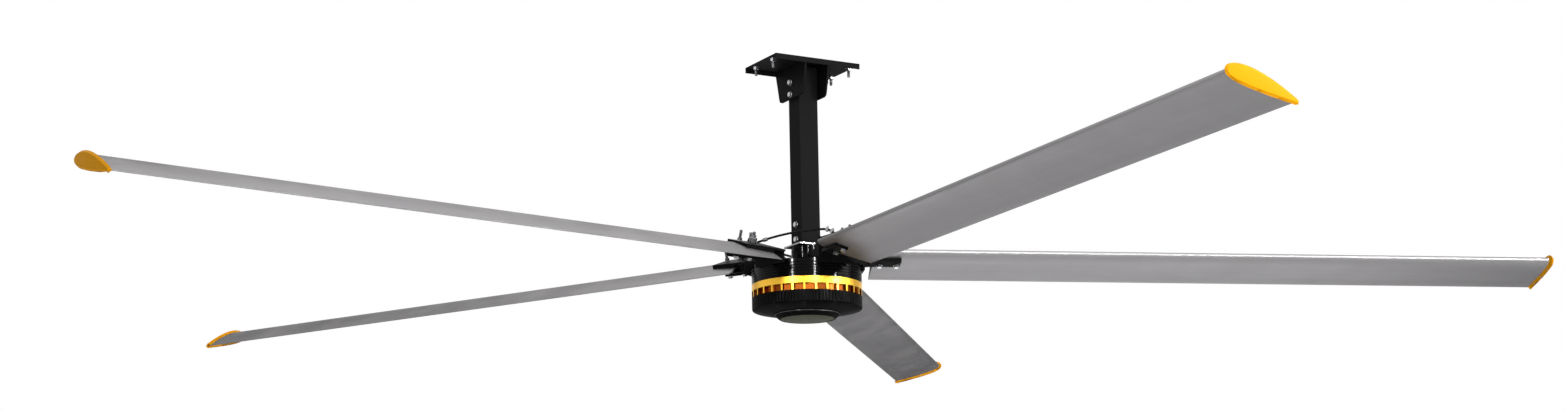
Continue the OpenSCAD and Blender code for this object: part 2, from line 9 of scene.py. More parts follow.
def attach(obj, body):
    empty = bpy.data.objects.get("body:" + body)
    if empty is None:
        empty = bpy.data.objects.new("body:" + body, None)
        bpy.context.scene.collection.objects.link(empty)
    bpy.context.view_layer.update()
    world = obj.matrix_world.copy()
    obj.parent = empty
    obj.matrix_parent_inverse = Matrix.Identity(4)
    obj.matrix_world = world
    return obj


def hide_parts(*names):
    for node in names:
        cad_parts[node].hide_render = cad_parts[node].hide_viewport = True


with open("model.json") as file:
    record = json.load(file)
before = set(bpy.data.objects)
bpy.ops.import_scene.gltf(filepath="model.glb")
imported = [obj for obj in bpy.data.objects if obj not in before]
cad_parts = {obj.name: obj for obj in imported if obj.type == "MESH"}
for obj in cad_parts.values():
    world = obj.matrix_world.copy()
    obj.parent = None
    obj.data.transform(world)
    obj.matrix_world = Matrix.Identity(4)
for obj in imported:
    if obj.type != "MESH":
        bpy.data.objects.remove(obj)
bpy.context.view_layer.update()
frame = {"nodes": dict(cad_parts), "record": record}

nodes = frame["nodes"]
bodyOf = {n: b for b, group in frame["record"]["behaviour"]["bodies"].items() for n in group}
scene = bpy.context.scene
print("frame loaded:", len(nodes), "nodes")

fan = dict(
    hubZ=-0.795,  # the blades' line under the ceiling plate's top
    phase=48.3,   # first blade's angle from X
    step=72,
    pitch=18.2,
    droop=0.66,
    drumRadius=0.2185,
)
hub = Vector((0, 0, fan["hubZ"]))


def spokeMatrix(i):
    turn = Matrix.Rotation(math.radians(fan["phase"] + fan["step"] * i), 4, "Z")
    return Matrix.Translation(hub) @ turn


def bladeMatrix(i):
    fall = Matrix.Rotation(math.radians(fan["droop"]), 4, "Y")
    tilt = Matrix.Rotation(math.radians(-fan["pitch"]), 4, "X")
    return spokeMatrix(i) @ fall @ tilt


# camera: where the photograph was taken from
shot = dict(
    turn=math.radians(30.17),  # the plate's X axis against the picture plane
    distance=9.2466,
    height=-2.5475,
    yaw=0.0100,
    lift=0.2102,
    roll=-0.0183,
    focalPixels=2369.8,
    frameWidth=1564,
)


def setCamera():
    s = shot
    forward = Vector((-math.sin(s["yaw"]) * math.cos(s["lift"]),
                      math.cos(s["yaw"]) * math.cos(s["lift"]), math.sin(s["lift"])))
    right = Vector((math.cos(s["yaw"]), math.sin(s["yaw"]), 0))
    up = right.cross(forward)
    tiltedRight = math.cos(s["roll"]) * right + math.sin(s["roll"]) * up
    tiltedUp = math.cos(s["roll"]) * up - math.sin(s["roll"]) * right
    axes = Matrix((tiltedRight, tiltedUp, -forward)).transposed().to_4x4()
    place = Matrix.Rotation(-s["turn"], 4, "Z") @ Matrix.Translation((0, -s["distance"], 0))
    data = bpy.data.cameras.new("photoCamera")
    data.sensor_fit = "HORIZONTAL"
    data.sensor_width = 36
    data.lens = s["focalPixels"] / s["frameWidth"] * 36
    data.clip_end = 100
    camera = bpy.data.objects.new("photoCamera", data)
    scene.collection.objects.link(camera)
    camera.matrix_world = Matrix.Translation((0, 0, s["height"])) @ place @ axes
    scene.camera = camera
    print("camera set")


setCamera()


# shader groups, each built once and placed in several finishes
def startGroup(name, inputs, outputs):
    group = bpy.data.node_groups.new(name, "ShaderNodeTree")
    for label, kind, value in inputs:
        socket = group.interface.new_socket(name=label, in_out="INPUT", socket_type=kind)
        if value is not None:
            socket.default_value = value
    for label, kind in outputs:
        group.interface.new_socket(name=label, in_out="OUTPUT", socket_type=kind)
    return group, group.nodes.new("NodeGroupInput"), group.nodes.new("NodeGroupOutput")


def addNode(tree, kind, **settings):
    node = tree.nodes.new(kind)
    for key, value in settings.items():
        setattr(node, key, value)
    return node


def joined(tree, *pairs):
    for a, b in pairs:
        tree.links.new(a, b)


def buildGrain():
    # fine pebble of paint, plastic or cast metal, mixed with a slow unevenness
    group, gin, gout = startGroup(
        "fineGrain",
        [("Vector", "NodeSocketVector", None), ("Scale", "NodeSocketFloat", 900.0),
         ("Unevenness", "NodeSocketFloat", 0.3)],
        [("Height", "NodeSocketFloat")])
    fine = addNode(group, "ShaderNodeTexNoise")
    fine.inputs["Detail"].default_value = 3
    slow = addNode(group, "ShaderNodeTexNoise")
    slow.inputs["Scale"].default_value = 14
    slow.inputs["Detail"].default_value = 4
    mix = addNode(group, "ShaderNodeMix", data_type="FLOAT")
    joined(group, (gin.outputs["Vector"], fine.inputs["Vector"]),
           (gin.outputs["Scale"], fine.inputs["Scale"]),
           (gin.outputs["Vector"], slow.inputs["Vector"]),
           (gin.outputs["Unevenness"], mix.inputs["Factor"]),
           (fine.outputs["Fac"], mix.inputs["A"]), (slow.outputs["Fac"], mix.inputs["B"]),
           (mix.outputs["Result"], gout.inputs["Height"]))
    return group


def buildDust():
    # a thin veil of dust that gathers in cloudy patches and lightens the colour
    group, gin, gout = startGroup(
        "dustVeil",
        [("Vector", "NodeSocketVector", None), ("Colour", "NodeSocketColor", (0.5, 0.5, 0.5, 1)),
         ("Dust", "NodeSocketColor", (0.4, 0.38, 0.35, 1)), ("Amount", "NodeSocketFloat", 0.1),
         ("Roughness", "NodeSocketFloat", 0.4), ("Spread", "NodeSocketFloat", 0.15)],
        [("Colour", "NodeSocketColor"), ("Roughness", "NodeSocketFloat")])
    cloud = addNode(group, "ShaderNodeTexNoise")
    cloud.inputs["Scale"].default_value = 6
    cloud.inputs["Detail"].default_value = 6
    cloud.inputs["Roughness"].default_value = 0.62
    speck = addNode(group, "ShaderNodeTexNoise")
    speck.inputs["Scale"].default_value = 160
    speck.inputs["Detail"].default_value = 2
    ramp = addNode(group, "ShaderNodeMapRange")
    ramp.inputs["From Min"].default_value = 0.4
    ramp.inputs["From Max"].default_value = 0.75
    blend = addNode(group, "ShaderNodeMath", operation="MULTIPLY")
    share = addNode(group, "ShaderNodeMath", operation="MULTIPLY")
    mix = addNode(group, "ShaderNodeMix", data_type="RGBA")
    rough = addNode(group, "ShaderNodeMath", operation="MULTIPLY_ADD")
    joined(group, (gin.outputs["Vector"], cloud.inputs["Vector"]),
           (gin.outputs["Vector"], speck.inputs["Vector"]),
           (cloud.outputs["Fac"], ramp.inputs["Value"]),
           (ramp.outputs["Result"], blend.inputs[0]), (speck.outputs["Fac"], blend.inputs[1]),
           (blend.outputs[0], share.inputs[0]), (gin.outputs["Amount"], share.inputs[1]),
           (share.outputs[0], mix.inputs["Factor"]),
           (gin.outputs["Colour"], mix.inputs["A"]), (gin.outputs["Dust"], mix.inputs["B"]),
           (ramp.outputs["Result"], rough.inputs[0]), (gin.outputs["Spread"], rough.inputs[1]),
           (gin.outputs["Roughness"], rough.inputs[2]),
           (mix.outputs["Result"], gout.inputs["Colour"]),
           (rough.outputs[0], gout.inputs["Roughness"]))
    return group


def buildDrawn():
    # long faint die lines of an extrusion: U runs along the blade, V across it
    group, gin, gout = startGroup(
        "drawnLines",
        [("Vector", "NodeSocketVector", None), ("Across", "NodeSocketFloat", 420.0),
         ("Along", "NodeSocketFloat", 0.6)],
        [("Lines", "NodeSocketFloat"), ("Bands", "NodeSocketFloat")])
    split = addNode(group, "ShaderNodeSeparateXYZ")
    along = addNode(group, "ShaderNodeMath", operation="MULTIPLY")
    across = addNode(group, "ShaderNodeMath", operation="MULTIPLY")
    pack = addNode(group, "ShaderNodeCombineXYZ")
    lines = addNode(group, "ShaderNodeTexNoise")
    lines.inputs["Scale"].default_value = 1
    lines.inputs["Detail"].default_value = 4
    wide = addNode(group, "ShaderNodeMath", operation="MULTIPLY")
    wide.inputs[1].default_value = 22
    packWide = addNode(group, "ShaderNodeCombineXYZ")
    bands = addNode(group, "ShaderNodeTexNoise")
    bands.inputs["Scale"].default_value = 1
    bands.inputs["Detail"].default_value = 3
    joined(group, (gin.outputs["Vector"], split.inputs[0]),
           (split.outputs["X"], along.inputs[0]), (gin.outputs["Along"], along.inputs[1]),
           (split.outputs["Y"], across.inputs[0]), (gin.outputs["Across"], across.inputs[1]),
           (along.outputs[0], pack.inputs["X"]), (across.outputs[0], pack.inputs["Y"]),
           (pack.outputs[0], lines.inputs["Vector"]),
           (split.outputs["Y"], wide.inputs[0]),
           (along.outputs[0], packWide.inputs["X"]), (wide.outputs[0], packWide.inputs["Y"]),
           (packWide.outputs[0], bands.inputs["Vector"]),
           (lines.outputs["Fac"], gout.inputs["Lines"]),
           (bands.outputs["Fac"], gout.inputs["Bands"]))
    return group


grainGroup, dustGroup, drawnGroup = buildGrain(), buildDust(), buildDrawn()

finishes = {
    "satinBlade": dict(colour=(0.335, 0.328, 0.334), rough=0.42, spread=0.1, metallic=1.0,
                       dust=0.2, drawn=True, bump=0.12, rim=0.2),
    "powderBlack": dict(colour=(0.0075, 0.0074, 0.0073), rough=0.42, spread=0.12, dust=0.02,
                        grain=1100, bump=0.18, gloss=0.015),
    "castBlack": dict(colour=(0.0025, 0.0025, 0.0027), rough=0.11, spread=0.03, dust=0.005,
                      grain=700, bump=0.03, gloss=0.055),
    "drumBlack": dict(colour=(0.002, 0.002, 0.0022), rough=0.1, spread=0.03, dust=0.004,
                      grain=700, bump=0.03, gloss=0.075),
    "ribBlack": dict(colour=(0.0028, 0.0028, 0.003), rough=0.3, spread=0.08, dust=0.01,
                     grain=700, bump=0.06, gloss=0.02),
    "underBlack": dict(colour=(0.0035, 0.0035, 0.0037), rough=0.35, spread=0.08, dust=0.02,
                       grain=700, bump=0.06, gloss=0.002),
    "orangeMetal": dict(colour=(0.98, 0.56, 0.045), rough=0.34, spread=0.08, metallic=0.8,
                        dust=0.01, grain=600, bump=0.05),
    # painted shade for the ring's pockets: a darker red-brown orange
    "orangePaintedShade": dict(colour=(0.2, 0.05, 0.005), rough=0.3, spread=0.1, metallic=1.0,
                         dust=0.02, grain=600, bump=0.05, rim=0.3),
    "orangeCap": dict(colour=(0.76, 0.33, 0.003), rough=0.42, spread=0.1, dust=0.004,
                      grain=1300, bump=0.1, gloss=0.03),
    "capBlack": dict(colour=(0.004, 0.004, 0.004), rough=0.34, spread=0.08, dust=0.02,
                     grain=1200, bump=0.05, gloss=0.003),
    # real higher gloss, with a lighter colour as a painted highlight for the glints on the cap's
    # lip
    "capRimGlint": dict(colour=(0.03, 0.03, 0.03), rough=0.14, spread=0.05, dust=0.02,
                   grain=1200, bump=0.03, gloss=0.6),
    "smokedLens": dict(colour=(0.036, 0.040, 0.017), rough=0.22, spread=0.08, dust=0.05,
                       grain=300, bump=0.03, gloss=0.01),
    # painted highlight for the adapter flange's edges: a light satin steel
    "flangeEdgeHighlight": dict(colour=(0.3, 0.3, 0.29), rough=0.35, spread=0.1, metallic=1.0,
                     dust=0.1, grain=900, bump=0.06),
    "brightZinc": dict(colour=(0.55, 0.56, 0.58), rough=0.22, spread=0.12, metallic=1.0,
                       dust=0.15, grain=800, bump=0.06, rim=0.3),
    "threadZinc": dict(colour=(0.22, 0.22, 0.23), rough=0.3, spread=0.1, metallic=1.0,
                       dust=0.2, grain=800, bump=0.06, rim=0.2),
    "darkSteel": dict(colour=(0.12, 0.12, 0.125), rough=0.35, spread=0.12, metallic=1.0,
                      dust=0.1, grain=900, bump=0.08),
    "ropeSheath": dict(colour=(0.006, 0.006, 0.006), rough=0.4, spread=0.1, dust=0.03,
                       grain=1500, bump=0.1, gloss=0.04),
    "sealRubber": dict(colour=(0.012, 0.012, 0.012), rough=0.6, spread=0.1, dust=0.1,
                       grain=1500, bump=0.15, gloss=0.2),
    "enamelCopper": dict(colour=(0.62, 0.24, 0.08), rough=0.3, spread=0.1, metallic=0.9,
                         dust=0.05, grain=500, bump=0.1),
    "coreSteel": dict(colour=(0.24, 0.25, 0.27), rough=0.4, spread=0.12, metallic=0.9,
                      dust=0.1, grain=900, bump=0.1),
    "castAluminium": dict(colour=(0.45, 0.45, 0.46), rough=0.45, spread=0.12, metallic=0.9,
                          dust=0.1, grain=700, bump=0.15),
    "cageBrass": dict(colour=(0.68, 0.47, 0.16), rough=0.32, spread=0.1, metallic=1.0,
                      dust=0.05, grain=900, bump=0.05),
    "groundSteel": dict(colour=(0.6, 0.61, 0.63), rough=0.16, spread=0.06, metallic=1.0,
                        dust=0.03, grain=1200, bump=0.02),
}


def makeFinish(name, colour, rough, spread, metallic=0.0, dust=0.0, drawn=False, grain=900,
               bump=0.1, gloss=0.5, rim=1.0):
    material = bpy.data.materials.new(name)
    material.use_nodes = True
    tree = material.node_tree
    surface = tree.nodes["Principled BSDF"]
    surface.inputs["Metallic"].default_value = metallic
    surface.inputs["Specular IOR Level"].default_value = gloss
    surface.inputs["Specular Tint"].default_value = (rim, rim, rim, 1)
    place = addNode(tree, "ShaderNodeTexCoord")
    veil = addNode(tree, "ShaderNodeGroup", node_tree=dustGroup)
    veil.inputs["Colour"].default_value = (*colour, 1)
    veil.inputs["Amount"].default_value = dust
    veil.inputs["Roughness"].default_value = rough
    veil.inputs["Spread"].default_value = spread
    relief = addNode(tree, "ShaderNodeBump")
    relief.inputs["Strength"].default_value = bump
    relief.inputs["Distance"].default_value = 0.0004
    joined(tree, (place.outputs["Object"], veil.inputs["Vector"]),
           (veil.outputs["Roughness"], surface.inputs["Roughness"]),
           (relief.outputs["Normal"], surface.inputs["Normal"]))
    if drawn:
        lines = addNode(tree, "ShaderNodeGroup", node_tree=drawnGroup)
        shade = addNode(tree, "ShaderNodeMapRange")
        shade.inputs["To Min"].default_value = 0.9
        shade.inputs["To Max"].default_value = 1.08
        tone = addNode(tree, "ShaderNodeVectorMath", operation="SCALE")
        joined(tree, (place.outputs["UV"], lines.inputs["Vector"]),
               (lines.outputs["Lines"], relief.inputs["Height"]),
               (lines.outputs["Bands"], shade.inputs["Value"]),
               (veil.outputs["Colour"], tone.inputs[0]),
               (shade.outputs["Result"], tone.inputs["Scale"]),
               (tone.outputs[0], surface.inputs["Base Color"]))
    else:
        pebble = addNode(tree, "ShaderNodeGroup", node_tree=grainGroup)
        pebble.inputs["Scale"].default_value = grain
        joined(tree, (place.outputs["Object"], pebble.inputs["Vector"]),
               (pebble.outputs["Height"], relief.inputs["Height"]),
               (veil.outputs["Colour"], surface.inputs["Base Color"]))
    return material


materials = {name: makeFinish(name, **spec) for name, spec in finishes.items()}
print("finishes made:", len(materials))


# angles in degrees: faces nearly in line are joined, and sharper corners than this are broken
dressing = dict(inLine=0.4, corner=35, segments=2)


# a finished piece takes its CAD node's place and body
def putIn(piece, name):
    scene.collection.objects.link(piece)
    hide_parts(name)
    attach(piece, bodyOf[name])


def smoothUnder(bm, angle):
    for face in bm.faces:
        face.smooth = True
    for e in bm.edges:
        e.smooth = len(e.link_faces) == 2 and e.calc_face_angle(0) < math.radians(angle)


# a CAD node's own shape, merged, with its edges broken
def dress(name, finish, edge, shape=None, weld=2e-6, clamp=True):
    mesh = nodes[name].data.copy()
    bm = bmesh.new()
    bm.from_mesh(mesh)
    bmesh.ops.remove_doubles(bm, verts=bm.verts, dist=weld)
    bmesh.ops.dissolve_limit(bm, angle_limit=math.radians(dressing["inLine"]), verts=bm.verts,
                             edges=bm.edges, use_dissolve_boundaries=False)
    if shape:
        shape(bm)
    smoothUnder(bm, dressing["corner"])
    bm.to_mesh(mesh)
    bm.free()
    mesh.materials.clear()
    mesh.materials.append(materials[finish])
    piece = bpy.data.objects.new(name + "_dressed", mesh)
    if edge:
        soft = piece.modifiers.new("brokenEdges", "BEVEL")
        soft.width = edge
        soft.segments = dressing["segments"]
        soft.limit_method = "ANGLE"
        soft.angle_limit = math.radians(dressing["corner"])
        soft.use_clamp_overlap = clamp
        soft.harden_normals = True
    putIn(piece, name)
    return piece


def paint(name, finish):
    nodes[name].data.materials.clear()
    nodes[name].data.materials.append(materials[finish])


# finish and width of the broken edges
hanger = dict(
    ceiling_plate=("powderBlack", 0.0015), ear_left=("powderBlack", 0.001),
    ear_right=("powderBlack", 0.001), down_rod=("powderBlack", 0.003),
    rod_adapter=("powderBlack", 0.0008), motor_shaft=("castBlack", 0.001),
    ear_spacers=("brightZinc", 0.0003), hanger_washers=("brightZinc", 0.0003),
    shaft_screws=("darkSteel", 0.0005),
)
drum = dict(
    upper_cover=("drumBlack", 0.0006), lower_cover=("ribBlack", 0.0004),
    accent_ring=("orangeMetal", 0.0005), cover_screws=("darkSteel", 0.0003),
    bottom_cap=("capBlack", 0.0008), cap_lens=("smokedLens", 0.0008),
    shaft_seal=("sealRubber", 0.0005), clamp_plates=("powderBlack", 0.001),
    clamp_washers=("brightZinc", 0.0003), tip_cap_screws=("brightZinc", 0.0002),
    safety_rope=("ropeSheath", 0), rope_eyes=("darkSteel", 0.0005),
    rope_ferrules=("darkSteel", 0.0005), rope_clips=("darkSteel", 0.0006),
)
dressed = {name: dress(name, *look) for name, look in {**hanger, **drum}.items()}
print("hanger and drum dressed")


# faces of a piece that look different: the test gets a face's centre from the hub, and its normal
def touchUp(name, finish, test):
    mesh = dressed[name].data
    mesh.materials.append(materials[finish])
    for poly in mesh.polygons:
        if test(Vector(poly.center) - hub, poly.normal):
            poly.material_index = len(mesh.materials) - 1


ring = dict(recess=0.2058, bandLow=-0.1312, edge=0.0006)
flange = dict(edge=0.0644)
lip = dict(radius=0.1285, top=-0.2225)
upright = 0.5  # a normal's rise or fall under which its face counts as a wall


# painted shade: the pockets' floors and the windows' side walls take a darker red-brown orange,
# which stands in for the shade inside the ring's pockets
def getsPaintedShade(c, n):
    out = math.hypot(c.x, c.y)
    inWindow = (c.z < ring["bandLow"] - ring["edge"] and abs(n.z) < upright
                and out < fan["drumRadius"] - ring["edge"])
    return out < ring["recess"] or inWindow


touchUp("accent_ring", "orangePaintedShade", getsPaintedShade)
# painted highlight: the adapter flange's outer edge faces take a light satin steel, which stands
# in for the light caught along those edges
touchUp("rod_adapter", "flangeEdgeHighlight", lambda c, n: max(abs(c.x), abs(c.y)) > flange["edge"])
touchUp("lower_cover", "underBlack", lambda c, n: n.z < -upright)
# the bottom cap's lip is glossier and painted lighter than the cap: the gloss is real, the
# lighter colour is a painted highlight for the glints along its rounded edge
touchUp("bottom_cap", "capRimGlint",
        lambda c, n: math.hypot(c.x, c.y) > lip["radius"] and c.z < lip["top"])
print("windows, flange edge and cap rim touched up")

# fasteners: hexagons with turned-down corners, helical threads on the free tails
hexagon = dict(turned=0.96, drop=0.55, corner=24)  # turned circle and corners' fall, as shares
thread = dict(pitch=0.00175, deep=0.0009, sides=12, crest=(0.4, 0.6), point=0.001, taper=0.0008)


def addHex(bm, place, width, low, high, both=False):
    turned = width / 2 * hexagon["turned"]
    rows = [(0, high, -1), (turned, high, 0)]
    rows = ([(turned, low, 0), (0, low, 1)] if both else [(0, low, 0)]) + rows
    loops = []
    for radius, z, way in rows:
        loop = bmesh.ops.create_circle(bm, segments=24, radius=1)["verts"]
        for v in loop:
            turn = math.degrees(math.atan2(v.co.y, v.co.x)) % 60 - 30
            r = radius or width / 2 / math.cos(math.radians(turn))
            drop = 0 if radius else (r - turned) * hexagon["drop"] * way
            v.co = place @ Vector((v.co.x * r, v.co.y * r, z + drop))
        loops.append(list(dict.fromkeys(e for v in loop for e in v.link_edges)))
    for a, b in zip(loops, loops[1:]):
        bmesh.ops.bridge_loops(bm, edges=a + b)
    for edges in (loops[0], loops[-1]):
        bmesh.ops.contextual_create(bm, geom=edges)


# the profile's ends are closed down to the axis
def addLathe(bm, place, profile, sides=24):
    line = [(0, profile[0][1]), *profile, (0, profile[-1][1])]
    old = set(bm.verts)
    verts = [bm.verts.new((r, 0, z)) for r, z in line]
    edges = [bm.edges.new(pair) for pair in zip(verts, verts[1:])]
    bmesh.ops.spin(bm, geom=verts + edges, axis=(0, 0, 1), cent=(0, 0, 0), angle=2 * math.pi,
                   steps=sides, use_merge=True)
    bmesh.ops.remove_doubles(bm, verts=[v for v in bm.verts if v not in old], dist=1e-6)
    made = [v for v in bm.verts if v not in old]
    bmesh.ops.transform(bm, matrix=place, verts=made)


# a helical strip with its bore filled, round a core with a pointed end
def addThread(bm, place, radius, low, high):
    pitch, sides, root = thread["pitch"], thread["sides"], radius - thread["deep"]
    turns = int((high - low) / pitch)
    old, oldFaces = set(bm.verts), set(bm.faces)
    profile = [(root, 0), *((radius, share) for share in thread["crest"]), (root, 1)]
    verts = [bm.verts.new((r, 0, low + pitch * share)) for r, share in profile]
    edges = [bm.edges.new(pair) for pair in zip(verts, verts[1:])]
    bmesh.ops.spin(bm, geom=verts + edges, axis=(0, 0, 1), cent=(0, 0, 0),
                   dvec=(0, 0, pitch / sides), angle=2 * math.pi * (turns - 1),
                   steps=sides * (turns - 1))
    made = [v for v in bm.verts if v not in old]
    bmesh.ops.remove_doubles(bm, verts=made, dist=1e-6)
    made = [v for v in bm.verts if v not in old]
    bmesh.ops.holes_fill(bm, edges=[e for e in bm.edges if e.is_boundary], sides=0)
    bmesh.ops.transform(bm, matrix=place, verts=made)
    addLathe(bm, place, [(root - thread["taper"], high), (root, high - thread["point"]),
                         (root, low)], sides)
    for face in bm.faces:
        if face not in oldFaces:
            face.material_index = 1


def finishFasteners(bm, name, finish):
    bmesh.ops.recalc_face_normals(bm, faces=bm.faces)
    mesh = bpy.data.meshes.new(name + "_detailed")
    smoothUnder(bm, hexagon["corner"])
    bm.to_mesh(mesh)
    bm.free()
    mesh.materials.append(materials[finish])
    mesh.materials.append(materials["threadZinc"])
    putIn(bpy.data.objects.new(name + "_detailed", mesh), name)


# lengths from the plate's top, the rod's axis or the seat under the head
hangerBolt = dict(radius=0.006, wide=0.019, head=0.0075, washer=0.0025, nut=0.0104, sink=0.001)
ceilingBolt = dict(atX=0.175, atY=0.07, plate=0.006, sunkHead=0.0116, sunkDeep=0.005,
                   neck=0.0057, free=0.0193, end=0.045)
earBolt = dict(heights=(-0.076, -0.126), half=0.0565, tail=0.02)
rodBolt = dict(heights=(-0.718, -0.658), half=0.042, tail=0.018)


def makeHangerBolts():
    b, c = hangerBolt, ceilingBolt
    sunk, ears, rods, nuts = bmesh.new(), bmesh.new(), bmesh.new(), bmesh.new()
    for x in (-c["atX"], c["atX"]):
        for y in (-c["atY"], c["atY"]):
            place = Matrix.Translation((x, y, 0)) @ Matrix.Rotation(math.pi, 4, "X")
            addLathe(sunk, place, [(c["sunkHead"], 0), (b["radius"], c["sunkDeep"]),
                                   (c["neck"], c["sunkDeep"]), (c["neck"], c["free"])])
            addThread(sunk, place, b["radius"], c["free"], c["end"])
            low = c["plate"] + b["washer"]
            addHex(nuts, place, b["wide"], low, low + b["nut"], both=True)
    for bm, through in ((ears, earBolt), (rods, rodBolt)):
        for z in through["heights"]:
            place = Matrix.Translation((0, 0, z)) @ Matrix.Rotation(math.pi / 2, 4, "Y")
            back = place @ Matrix.Rotation(math.pi, 4, "X")
            seat = through["half"] + b["washer"]
            start = seat + b["nut"] - b["sink"]
            addHex(bm, back, b["wide"], seat, seat + b["head"])
            addLathe(bm, place, [(b["radius"], -seat), (b["radius"], start)])
            addThread(bm, place, b["radius"], start, through["half"] + through["tail"])
            addHex(nuts, place, b["wide"], seat, seat + b["nut"], both=True)
    finishFasteners(sunk, "ceiling_bolts", "brightZinc")
    finishFasteners(ears, "ear_bolts", "brightZinc")
    finishFasteners(rods, "rod_bolts", "brightZinc")
    finishFasteners(nuts, "hanger_nuts", "brightZinc")


# heights from the blades' line, square to the blade for the clamps
clampBolt = dict(radius=0.006, wide=0.018, at=(0.291, 0.359), head=(-0.0345, -0.0265),
                 nutLow=(0.0568, 0.0385), nut=0.0108, sink=0.001, end=0.08)
footBolt = dict(radius=0.005, wide=0.016, face=-0.023, head=0.0064, deep=0.008, sink=0.001,
                at=((0.162, -0.028), (0.162, 0.034), (0.199, -0.028), (0.199, 0.034)))


def makeBladeBolts():
    b, f = clampBolt, footBolt
    clamps, nuts, feet = bmesh.new(), bmesh.new(), bmesh.new()
    for i in range(5):
        for x, nutLow in zip(b["at"], b["nutLow"]):
            place = bladeMatrix(i) @ Matrix.Translation((x, 0, 0))
            low, high = b["head"]
            addHex(clamps, place @ Matrix.Rotation(math.pi, 4, "X"), b["wide"], -high, -low)
            nutTop = nutLow + b["nut"]
            start = nutTop - b["sink"]
            addLathe(clamps, place, [(b["radius"], high), (b["radius"], start)])
            addThread(clamps, place, b["radius"], start, b["end"])
            addHex(nuts, place, b["wide"], nutLow, nutTop, both=True)
        for x, y in f["at"]:
            place = spokeMatrix(i) @ Matrix.Translation((x, y, 0))
            addHex(feet, place, f["wide"], f["face"], f["face"] + f["head"])
            addLathe(feet, place, [(f["radius"], f["face"] - f["deep"]),
                                   (f["radius"], f["face"] + f["sink"])])
    finishFasteners(clamps, "clamp_bolts", "brightZinc")
    finishFasteners(nuts, "clamp_nuts", "darkSteel")
    finishFasteners(feet, "bracket_bolts", "brightZinc")


makeHangerBolts()
makeBladeBolts()
print("fasteners made")

# tip caps: end face rounded over, proud edge with a sloped back down to the blade
cap = dict(tip=3.05, depth=0.019, edge=0.008, roundOff=0.003, proud=0.005,
           near=0.0005, flat=0.3, corner=1)


def shapeCap(bm, place):
    bmesh.ops.transform(bm, matrix=place.inverted(), verts=bm.verts)
    bm.normal_update()
    outward = {}
    for v in bm.verts:
        if v.co.x > cap["tip"] - cap["near"]:
            walls = [f.normal for f in v.link_faces if abs(f.normal.x) < cap["flat"]]
            out = sum(walls, Vector())
            outward[round(v.co.y, 4), round(v.co.z, 4)] = Vector((0, out.y, out.z)).normalized()
    for v in bm.verts:
        way = outward.get((round(v.co.y, 4), round(v.co.z, 4)))
        if way and v.co.x < cap["tip"] - cap["depth"] + cap["near"]:
            v.co += way * cap["proud"] + Vector((cap["depth"] - cap["edge"], 0, 0))
    rim = [e for e in bm.edges if min(v.co.x for v in e.verts) > cap["tip"] - cap["near"]
           and e.calc_face_angle(0) > cap["corner"]]
    bmesh.ops.bevel(bm, geom=rim, offset=cap["roundOff"], segments=4, profile=0.5,
                    affect="EDGES", material=-1, clamp_overlap=True)
    bmesh.ops.transform(bm, matrix=place, verts=bm.verts)


for i in range(5):
    # the brackets' shortest edges would shrink the bevel to nothing if it were clamped
    dress("blade_bracket_%d" % (i + 1), "powderBlack", 0.0005, weld=0.0002, clamp=False)
    dress("tip_cap_%d" % (i + 1), "orangeCap", 0.0008,
          shape=lambda bm: shapeCap(bm, bladeMatrix(i)))


# UVs along the span and across the chord, for the die lines
def dressBlade(i):
    mesh = dress("blade_%d" % (i + 1), "satinBlade", 0.0005).data
    back = bladeMatrix(i).inverted()
    spin = back.to_3x3()
    uv = mesh.uv_layers.new(name="span")
    for poly in mesh.polygons:
        side = 0.0 if (spin @ poly.normal).z > 0 else 1.0
        for k in poly.loop_indices:
            p = back @ mesh.vertices[mesh.loops[k].vertex_index].co
            uv.data[k].uv = (p.x, p.y + side)


for i in range(5):
    dressBlade(i)
print("blades dressed")

inside = dict(
    shaft_lock_nut="darkSteel", stator_carrier="castAluminium", stator_core="coreSteel",
    stator_coils="enamelCopper", upper_bearing_inner_ring="groundSteel",
    lower_bearing_inner_ring="groundSteel", upper_bearing_outer_ring="groundSteel",
    lower_bearing_outer_ring="groundSteel", upper_bearing_cage="cageBrass",
    lower_bearing_cage="cageBrass", upper_bearing_balls="groundSteel",
    lower_bearing_balls="groundSteel", rotor_yoke="coreSteel", rotor_magnets="coreSteel",
)
for name, finish in inside.items():
    paint(name, finish)
print("inner pieces painted")


# studio: pale floor, soft lamps, plain white backdrop
studio = dict(
    floorZ=-3.9, floorSize=160, floorColour=(0.8, 0.8, 0.8), fadeFrom=5, fadeTo=16,
    worldSide=(0.4, 0.4, 0.41), worldTop=(0.55, 0.55, 0.57), worldLow=(0.35, 0.35, 0.35),
)
# azimuth is counted from the camera's side, to the right; sizes in metres
lamps = [
    dict(name="topLamp", azimuth=60, lift=62, away=7.0, wide=6.0, high=6.0, power=120),
    dict(name="frontLamp", azimuth=32, lift=40, away=7.0, wide=7.5, high=7.5, power=220),
    dict(name="backLamp", azimuth=185, lift=55, away=7.0, wide=5.0, high=5.0, power=120),
    dict(name="rightPanel", azimuth=72, lift=12, away=6.5, wide=6.0, high=1.6, power=100),
    dict(name="underPanel", azimuth=180, lift=-45, away=4.0, wide=7.0, high=2.2, power=72),
    dict(name="capLamp", azimuth=28, lift=2, away=6.5, wide=0.6, high=0.6, power=110),
    dict(name="leftStrip", azimuth=-29, lift=11, away=6.0, wide=0.1, high=0.7, power=150),
    dict(name="middleStrip", azimuth=17, lift=11, away=6.0, wide=0.1, high=0.7, power=150),
    dict(name="rightStrip", azimuth=61, lift=11, away=6.0, wide=0.1, high=0.7, power=220),
]


